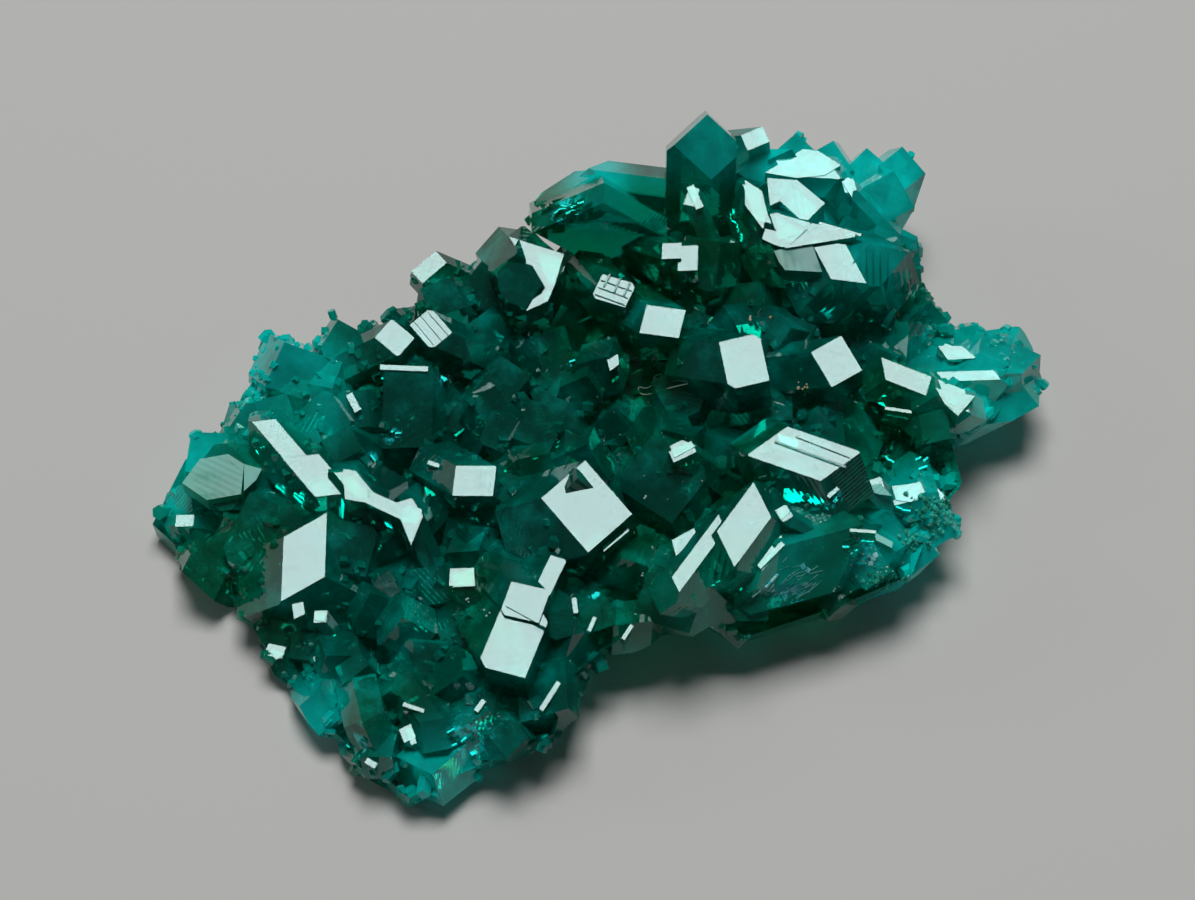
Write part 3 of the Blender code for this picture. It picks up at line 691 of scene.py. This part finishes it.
# Both ends in the picture, and the width
RIDGES = (
    ((775, 441), (846, 467), 2.2),
    ((796, 436), (850, 457), 1.0),
    ((506, 605), (548, 628), 1.4),
    ((482, 467), (478, 494), 1.2),
    ((488, 468), (484, 494), 1.2),
    ((493, 470), (489, 494), 1.2),
    ((420, 314), (442, 340), 1.2),
    ((428, 311), (449, 335), 1.2),
    ((414, 320), (434, 344), 1.2),
    ((601, 279), (632, 290), 1.5),
    ((598, 286), (628, 297), 1.5),
    ((595, 293), (625, 304), 1.5),
    ((610, 274), (604, 286), 2.0),
    ((620, 278), (614, 292), 2.0),
    ((630, 283), (623, 296), 2.0),
    ((861, 247), (861, 281), 1.4),
    ((867, 248), (868, 282), 1.2),
    ((874, 249), (875, 282), 1.4),
    ((881, 251), (882, 282), 1.2),
    ((889, 253), (889, 281), 1.4),
    ((722, 548), (715, 571), 1.4),
    ((729, 548), (722, 573), 1.4),
    ((736, 550), (729, 575), 1.4),
    ((742, 552), (736, 576), 1.4),
    ((205, 461), (233, 485), 1.0),
    ((224, 456), (242, 470), 1.0),
    ((197, 477), (226, 470), 1.0),
    ((246, 469), (259, 471), 1.2),
    ((246, 475), (258, 477), 1.2),
    ((246, 481), (252, 482), 1.2),
    ((790, 256), (818, 262), 1.0),
    ((786, 264), (820, 269), 1.0),
)

face_lines = joined_as("face_lines", all_blocks(strips(RIDGES), lift=RIDGE_LIFT, roof=True), crystal)
print(face_lines.name, len(face_lines.data.polygons), "faces")

# %% [markdown]
# ## Glints inside
# Flat cracks in the crystal throw the light back in bright blue green. They lie in swarms of short streaks,
# along one direction in each swarm. A streak is a very thin block whose mirror image of the sky is tinted, so
# that it shines cyan. On the broken right end the cracks are fibrous and pale instead, and follow their
# faces. The cutting tool takes points closer than 0.1 mm for one, so the finest streaks and ridges come out
# as single upright faces.

# %% Streaks
GLINT_CYAN = (0.02, 0.95, 0.95)
PALE_TEAL = (0.3, 0.75, 0.78)
PALE_DARKER = (0.05, 0.55, 0.58)
PALE_LIGHTER = (0.5, 0.9, 0.92)
PALE_ROUGHNESS = 0.45
PALE_SCALE = 2200
STREAK_LIFT = 0.03 * MM
FLUSH_WITHIN = 0.1 * MM
# How squarely a face has to turn to the eye to carry a streak
FACING_EYE = -0.2
SLOPE_SPREAD = 12
SHORTEST_SHARE = 0.3
NARROWEST = 0.7
WIDEST_GLINT = 2.2
WIDEST_CRACK = 1.4
# Middle in the picture, spread across and down, slope in degrees, number, longest
GLINTS = (
    (567, 208, 20, 8, -12, 34, 16),
    (566, 367, 6, 4, -30, 4, 7),
    (441, 376, 4, 3, 40, 3, 6),
    (388, 432, 10, 6, -10, 6, 7),
    (547, 309, 3, 2, -35, 3, 6),
    (372, 458, 3, 3, 60, 3, 7),
    (355, 520, 5, 3, 0, 3, 6),
    (885, 455, 6, 6, 30, 7, 8),
    (918, 453, 13, 12, -35, 22, 11),
    (834, 500, 5, 6, -60, 5, 9),
    (470, 742, 25, 10, -30, 14, 9),
    (895, 510, 18, 8, 0, 7, 12),
    (595, 595, 5, 4, -20, 3, 6),
    (350, 745, 12, 10, 50, 6, 8),
    (1003, 372, 6, 7, -70, 5, 9),
    (846, 238, 12, 3, 12, 5, 12),
    (850, 545, 10, 10, -20, 7, 8),
)
PALE_STREAKS = (
    (780, 592, 26, 8, -34, 60, 22),
    (868, 560, 14, 9, -10, 14, 8),
    (800, 570, 18, 8, -30, 16, 9),
)
chance = random.Random(7)


def streaks(rows, widest, flush=False):
    """Thin blocks strewn about each place, near the slope given for it. A flush one follows its face."""
    made = []
    for across, down, wide, high, slope, count, longest in rows:
        for _ in range(count):
            start = (chance.gauss(across, wide / 2), chance.gauss(down, high / 2))
            turn = math.radians(slope + chance.gauss(0, SLOPE_SPREAD))
            length = chance.uniform(SHORTEST_SHARE, 1.0) * longest
            end = (start[0] + length * math.cos(turn), start[1] + length * math.sin(turn))
            width = chance.uniform(NARROWEST, widest)
            near, far = met(*start), met(*end)
            if not near or not far:
                continue
            normal = near[1] if flush else SKY_NORMAL
            rise = (far[0] - near[0]).dot(normal)
            if normal.dot(sight) < FACING_EYE and (abs(rise) < FLUSH_WITHIN or not flush):
                made += blocks_on([strip(start, end, width)], normal, lift=STREAK_LIFT)
    return made


glint = crystal_material("glints", mirror=GLINT_CYAN, cloudiness=0.5, with_painted_glints=False, lined=False)
glints = joined_as("glints", streaks(GLINTS, WIDEST_GLINT), glint)
print(len(glints.data.polygons), "faces in the glints")

pale, _ = plain_material("pale cracks", PALE_TEAL, PALE_ROUGHNESS)
mottle(pale, PALE_SCALE, 3, 0.6, PALE_DARKER, PALE_LIGHTER)
pale_cracks = joined_as("pale_cracks", streaks(PALE_STREAKS, WIDEST_CRACK, flush=True), pale)
print(len(pale_cracks.data.polygons), "faces in the pale cracks")

# %% [markdown]
# ## Small crystals in the gaps
# Between the large crystals the real cluster is full of crystals too small to draw one by one. One is
# modelled: a six-sided bar whose top is cut by the three end faces of dioptase. It is copied more than a
# thousand times, each copy with its own mesh, size and lean, in the hollows and along the broken edge.

# %% One small crystal
END_FACE_TILT = math.radians(50.96)
END_FACE_AZIMUTHS = (30, 150, 270)
SMALL_LENGTH = 3.0
SMALL_TIP = Vector((0, 0, -0.1))

bpy.ops.object.select_all(action="DESELECT")
bpy.ops.mesh.primitive_cylinder_add(
    vertices=6, radius=1, depth=SMALL_LENGTH, location=(0, 0, -SMALL_LENGTH / 2)
)
small_crystal = bpy.context.object
bpy.ops.object.transform_apply(location=True, rotation=True, scale=True)
end_faces = []
for azimuth in END_FACE_AZIMUTHS:
    turn = math.radians(azimuth)
    flat = math.sin(END_FACE_TILT)
    end_faces.append(Vector((flat * math.cos(turn), flat * math.sin(turn), math.cos(END_FACE_TILT))))
bpy.ops.object.mode_set(mode="EDIT")
keep_inside([(SMALL_TIP, normal) for normal in end_faces])
bpy.ops.mesh.select_all(action="SELECT")
bpy.ops.mesh.normals_make_consistent(inside=False)
bpy.ops.object.mode_set(mode="OBJECT")
# All faces but the foot, which is never seen
bar_faces = [face.normal.copy() for face in small_crystal.data.polygons if face.normal.z > -0.5]
print("one small crystal has", len(small_crystal.data.polygons), "faces")

# %% [markdown]
# A crystal is only allowed to catch the sky now and then. Each place tries a few leans and keeps the first
# one with no face near the direction that shines white, or else the last one. The smooth faces stay free.

# %% Strewing them
SMALL_TRIES = 12
SKY_CLEARANCE = math.cos(math.radians(16))
HOLLOW_COUNT = 560
HOLLOW_RADIUS = 1.3 * MM
HOLLOW_DEPTH = 0.35 * MM
HOLLOW_SIDES = 6
LOWEST_HOLLOW = 1.5 * MM
# A height above the whole cluster, where rays that look down start
OVERHEAD = 0.03
DOWN = Vector((0, 0, -1))
# Least, greatest and usual girth in millimetres, shortest and longest stretch, spread of the lean, and how
# far the tip stands out in girths
HOLLOW_HABIT = ((0.13, 0.48, 0.2), (0.8, 1.3), 0.45, (0.5, 1.3))
# Left, top, right and bottom of the parts of the picture where the faces are smooth
SMOOTH_PARTS = (
    (535, 165, 672, 245),
    (495, 232, 572, 318),
    (742, 140, 905, 290),
    (740, 520, 905, 640),
    (176, 448, 266, 504),
    (655, 110, 745, 215),
    (884, 476, 930, 506),
)


def stays_free(point, normal):
    """Whether this is a face that shines white, or a part of the picture that has to stay smooth."""
    if normal.dot(SKY_NORMAL) > SKY_CLEARANCE:
        return True
    across, down = seen_at(point)
    return any(left < across < right and top < down < bottom for left, top, right, bottom in SMOOTH_PARTS)


def lean_of(normal, spread):
    """Rotation that stands a crystal on a face, leaning at random by up to the spread."""
    for _ in range(SMALL_TRIES):
        wild = Vector([chance.gauss(0, spread) for _ in range(3)])
        axis = (normal + wild).normalized()
        spin = Matrix.Rotation(chance.uniform(0, math.tau), 4, "Z")
        turn = axis.to_track_quat("Z", "Y").to_matrix().to_4x4() @ spin
        if max((turn.to_3x3() @ face).dot(SKY_NORMAL) for face in bar_faces) < SKY_CLEARANCE:
            return turn
    return turn


def copy_at(model, place, girth, stretch, turn, rise):
    """Copy of a model with its tip this far out of the surface."""
    made = model.copy()
    made.data = model.data.copy()
    bpy.context.scene.collection.objects.link(made)
    axis = turn.to_3x3() @ Vector((0, 0, 1))
    tip = place + axis * rise
    made.data.transform(Matrix.Translation(tip) @ turn @ Matrix.Diagonal((girth, girth, girth * stretch, 1)))
    return made


def grown_on(place, normal, girths, stretches, spread, rises):
    """Small crystal on a face, with its sizes drawn from these ranges."""
    girth = chance.triangular(*girths) * MM
    stretch = chance.uniform(*stretches)
    turn = lean_of(normal, spread)
    return copy_at(small_crystal, place, girth, stretch, turn, girth * chance.uniform(*rises))


def in_hollow(place):
    """Whether the surface stands higher on at least half of the sides."""
    higher = 0
    for step in range(HOLLOW_SIDES):
        turn = step * math.tau / HOLLOW_SIDES
        side = place + Vector((math.cos(turn), math.sin(turn), 0)) * HOLLOW_RADIUS
        above, _, _, _ = surface.ray_cast(side + Vector((0, 0, OVERHEAD)), DOWN)
        higher += above is not None and above.z > place.z + HOLLOW_DEPTH
    return higher >= HOLLOW_SIDES / 2


low_corner, high_corner = (Vector(corner) for corner in cad_box)
strewn = []
while len(strewn) < HOLLOW_COUNT:
    across = chance.uniform(low_corner.x, high_corner.x)
    along = chance.uniform(low_corner.y, high_corner.y)
    place, normal, _, _ = surface.ray_cast(Vector((across, along, OVERHEAD)), DOWN)
    if place is None or place.z < LOWEST_HOLLOW or stays_free(place, normal) or not in_hollow(place):
        continue
    strewn.append(grown_on(place, normal, *HOLLOW_HABIT))
hollow_clear = crystal_material("crystals in the hollows", cloudiness=0.08, with_painted_glints=False, lined=False)
hollow_crystals = joined_as("hollow_crystals", strewn, hollow_clear)
print(hollow_crystals.name, len(hollow_crystals.data.polygons), "faces")

# %% [markdown]
# The broken edge is the same, only finer: short crystals and chips that point outwards all round.

# %% Edge crystals
EDGE_COUNT = 600
HIGHEST_BEHIND = 7 * MM
HIGHEST_IN_FRONT = 2.4 * MM
EDGE_HABIT = ((0.14, 0.46, 0.22), (0.6, 1.1), 0.5, (0.3, 1.0))
# The rays aim from outside at points in this box, in millimetres, and rise or fall this much
AIM_BOX = ((-13, 13), (-7, 8), (0.7, 4.0))
RAY_SLOPES = (-0.02, 0.25)
OUTSIDE = 0.06
MOST_OVERHANG = -0.3

strewn = []
while len(strewn) < EDGE_COUNT:
    turn = chance.uniform(0, math.tau)
    out = Vector((math.cos(turn), math.sin(turn), chance.uniform(*RAY_SLOPES))).normalized()
    middle = Vector([chance.uniform(*limits) for limits in AIM_BOX]) * MM
    place, normal, _, _ = surface.ray_cast(middle + out * OUTSIDE, -out)
    highest = HIGHEST_BEHIND if out.y > 0 else HIGHEST_IN_FRONT
    if place is None or normal.z < MOST_OVERHANG or place.z > highest or stays_free(place, normal):
        continue
    strewn.append(grown_on(place, normal, *EDGE_HABIT))

small_clear = crystal_material("small crystals", cloudiness=0.18, with_painted_glints=False, lined=False)
edge_crystals = joined_as("edge_crystals", strewn, small_clear)
bpy.data.objects.remove(small_crystal)
print(edge_crystals.name, len(edge_crystals.data.polygons), "faces")

# %% [markdown]
# ## Crust and grains
# The right end carries a crust of green grains, and a few cream and white specks lie in the gaps. One grain
# is a coarse ball with its corners pulled about, and every speck is a copy of it.

# %% One grain
GRAIN_UNEVENNESS = 0.25
GRAIN_ROUGHNESS = 0.75
GRAIN_SCALE = 1600
# Share of its size by which a grain stands out, and how flat grains are
GRAIN_RISE = 0.2
GRAIN_FLATNESS = (0.6, 1.0)

bpy.ops.object.select_all(action="DESELECT")
bpy.ops.mesh.primitive_ico_sphere_add(subdivisions=1, radius=1)
grain = bpy.context.object
bpy.ops.object.mode_set(mode="EDIT")
bpy.ops.mesh.select_all(action="SELECT")
bpy.ops.transform.vertex_random(offset=GRAIN_UNEVENNESS, seed=3)
bpy.ops.object.mode_set(mode="OBJECT")


def any_turn():
    """Any rotation at all."""
    axis = Vector([chance.gauss(0, 1) for _ in range(3)]).normalized()
    return Matrix.Rotation(chance.uniform(0, math.tau), 4, axis)


def grains_in(areas):
    """Grains in oval parts of the picture, given by middle, half width, half height, number and size."""
    made = []
    for across, down, wide, high, count, smallest, largest in areas:
        for _ in range(count):
            hit = met(chance.gauss(across, wide / 2), chance.gauss(down, high / 2))
            if hit:
                size = chance.uniform(smallest, largest) * MM
                stretch = chance.uniform(*GRAIN_FLATNESS)
                made.append(copy_at(grain, hit[0], size, stretch, any_turn(), GRAIN_RISE * size))
    return made


def grain_material(name, first, second):
    """Matt finish that drifts between two colours."""
    material, _ = plain_material(name, first, GRAIN_ROUGHNESS)
    mottle(material, GRAIN_SCALE, 4, 0.62, first, second)
    return material


print("one grain has", len(grain.data.polygons), "faces")

# %% [markdown]
# The green grains sit close together and half sunk. The cream ones are dust-sized.

# %% Crust, cream grains and white specks
# Middle in the picture, half width, half height, number, smallest and largest size in millimetres
GREEN_CRUST = (
    (938, 512, 28, 24, 130, 0.07, 0.2),
    (915, 540, 16, 14, 50, 0.07, 0.18),
    (885, 578, 28, 12, 60, 0.06, 0.17),
    (748, 640, 10, 6, 14, 0.08, 0.2),
)
PALE_SPECKS = (
    (897, 578, 18, 12, 34, 0.03, 0.08),
    (868, 560, 20, 14, 14, 0.03, 0.07),
    (645, 500, 3, 3, 2, 0.05, 0.08),
    (642, 573, 3, 3, 2, 0.05, 0.08),
    (470, 598, 8, 3, 3, 0.05, 0.08),
    (464, 612, 6, 3, 3, 0.04, 0.07),
    (486, 612, 4, 4, 3, 0.05, 0.08),
    (840, 590, 10, 6, 5, 0.04, 0.07),
)
CREAM_GRAINS = (
    (803, 388, 8, 8, 9, 0.05, 0.13),
    (751, 319, 2, 3, 3, 0.06, 0.11),
    (770, 317, 3, 2, 3, 0.05, 0.09),
    (897, 317, 5, 4, 4, 0.05, 0.1),
    (690, 470, 60, 40, 8, 0.03, 0.05),
    (620, 400, 90, 40, 10, 0.025, 0.045),
)
CRUST_GREENS = ((0.0, 0.25, 0.16), (0.02, 0.5, 0.38))
SPECK_WHITES = ((0.35, 0.6, 0.55), (0.6, 0.75, 0.7))
GRAIN_CREAMS = ((0.42, 0.33, 0.14), (0.62, 0.58, 0.42))

crust_green = grain_material("green crust", *CRUST_GREENS)
speck_white = grain_material("pale specks", *SPECK_WHITES)
grain_cream = grain_material("cream grains", *GRAIN_CREAMS)
green_crust = joined_as("green_crust", grains_in(GREEN_CRUST), crust_green)
pale_specks = joined_as("pale_specks", grains_in(PALE_SPECKS), speck_white)
cream_grains = joined_as("cream_grains", grains_in(CREAM_GRAINS), grain_cream)
bpy.data.objects.remove(grain)
print(len(green_crust.data.polygons), "faces of green crust")

# %% [markdown]
# ## A fibre of lint
# A pale thread lies in a loose loop on the dark middle. It is a curve laid through points just above the
# surface, given a thickness and turned into a mesh.

# %% Thread
THREAD_POINTS = (
    (662, 374),
    (654, 374),
    (654, 385),
    (645, 389),
    (638, 386),
    (638, 393),
    (647, 396),
    (668, 388),
    (688, 383),
)
THREAD_RADIUS = 0.028 * MM
LINT_CREAMS = ((0.66, 0.68, 0.6), (0.85, 0.85, 0.76))

thread_path = []
for spot in THREAD_POINTS:
    point, normal = met(*spot)
    thread_path.append(point + normal * 2 * THREAD_RADIUS)
bpy.ops.object.select_all(action="DESELECT")
bpy.ops.curve.primitive_nurbs_path_add()
path = bpy.context.object
path.data.splines.clear()
spline = path.data.splines.new("NURBS")
spline.points.add(len(thread_path) - 1)
for control, point in zip(spline.points, thread_path):
    control.co = (*point, 1)
spline.use_endpoint_u = True
spline.order_u = 3
path.data.bevel_depth = THREAD_RADIUS
path.data.bevel_resolution = 1
path.data.use_fill_caps = True
path.data.resolution_u = 5
bpy.ops.object.convert(target="MESH")
thread_cream = grain_material("lint", *LINT_CREAMS)
thread = finished("thread", thread_cream)
print(thread.name, len(thread.data.polygons), "faces")
